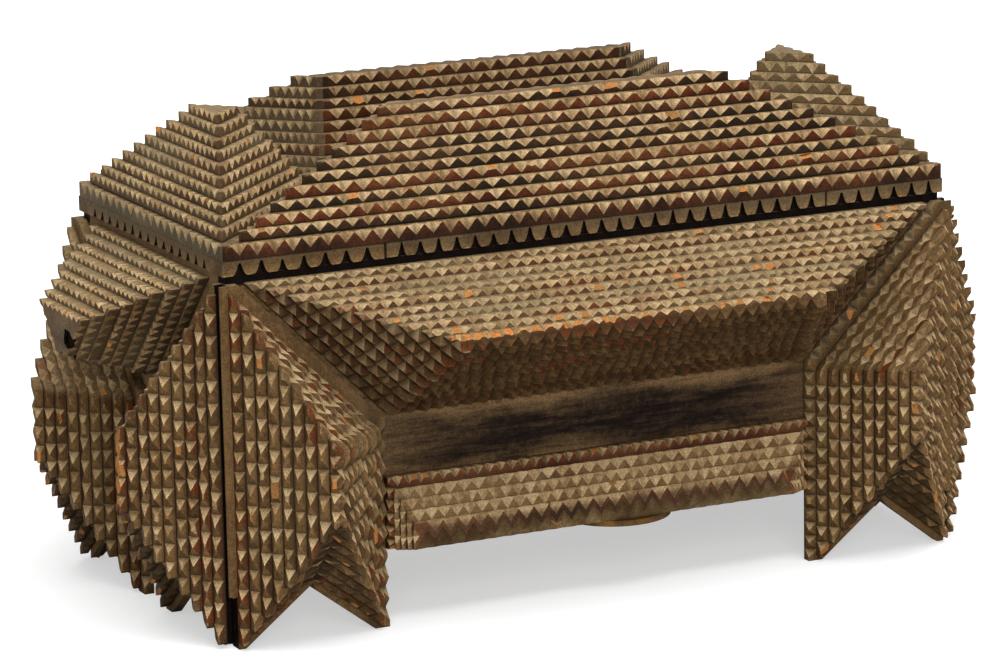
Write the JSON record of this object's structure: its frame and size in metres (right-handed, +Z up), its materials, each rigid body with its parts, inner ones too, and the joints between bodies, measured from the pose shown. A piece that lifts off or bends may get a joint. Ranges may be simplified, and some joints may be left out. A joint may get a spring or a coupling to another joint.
{
  "type": "tramp art box",
  "caption": "Lidded wooden box on notched corner legs, every face built up in stepped, chip-carved layers, with a hinged lid and a shallow drawer in the base.",
  "frame": {"origin": "floor level under the middle of the box", "axes": "+X to the right along the front, +Y to the back, +Z up"},
  "size_m": [0.4098, 0.247, 0.207],
  "materials": {
    "notched_wood": "worn, dusty varnish",
    "case_wood": "dark stained",
    "drawer_wood": "bare",
    "hinge_brass": "tarnished",
    "tab_brass": "tarnished"
  },
  "bodies": {
    "case": {"front_wall": "case_wood", "back_wall": "case_wood", "left_wall": "case_wood", "right_wall": "case_wood", "case_bottom": "case_wood", "compartment_floor": "case_wood", "floor_cleats": "case_wood", "drawer_guides": "case_wood", "front_wall_stack": "notched_wood", "back_wall_stack": "notched_wood", "left_wall_stack": "notched_wood", "right_wall_stack": "notched_wood", "front_left_leg_front_board": "notched_wood", "front_left_leg_side_board": "notched_wood", "front_left_leg_front_stack": "notched_wood", "front_left_leg_side_stack": "notched_wood", "front_right_leg_front_board": "notched_wood", "front_right_leg_side_board": "notched_wood", "front_right_leg_front_stack": "notched_wood", "front_right_leg_side_stack": "notched_wood", "back_left_leg_back_board": "notched_wood", "back_left_leg_side_board": "notched_wood", "back_left_leg_back_stack": "notched_wood", "back_left_leg_side_stack": "notched_wood", "back_right_leg_back_board": "notched_wood", "back_right_leg_side_board": "notched_wood", "back_right_leg_back_stack": "notched_wood", "back_right_leg_side_stack": "notched_wood", "case_hinge_leaves": "hinge_brass", "hinge_pins": "hinge_brass", "case_hinge_screws": "hinge_brass"},
    "lid": {"lid_panel": "notched_wood", "rim_front_left": "notched_wood", "rim_front_middle": "notched_wood", "rim_front_right": "notched_wood", "rim_back": "notched_wood", "rim_left": "notched_wood", "rim_right": "notched_wood", "lid_front_stack": "notched_wood", "lid_back_stack": "notched_wood", "lid_left_stack": "notched_wood", "lid_right_stack": "notched_wood", "lid_hinge_leaves": "hinge_brass", "lid_hinge_screws": "hinge_brass"},
    "drawer": {"drawer_front": "notched_wood", "drawer_front_layers": "notched_wood", "drawer_left_side": "drawer_wood", "drawer_right_side": "drawer_wood", "drawer_back": "drawer_wood", "drawer_bottom": "drawer_wood", "pull_tab": "tab_brass", "tab_tacks": "hinge_brass"}
  },
  "joints": [
    {"name": "lid_hinge", "type": "hinge", "parent": "case", "child": "lid", "pos_m": [0, 0.082, 0.152], "axis": [-1, 0, 0], "range_deg": [0, 105]},
    {"name": "drawer_slide", "type": "slide", "parent": "case", "child": "drawer", "axis": [0, -1, 0], "range_m": [0, 0.095]}
  ]
}
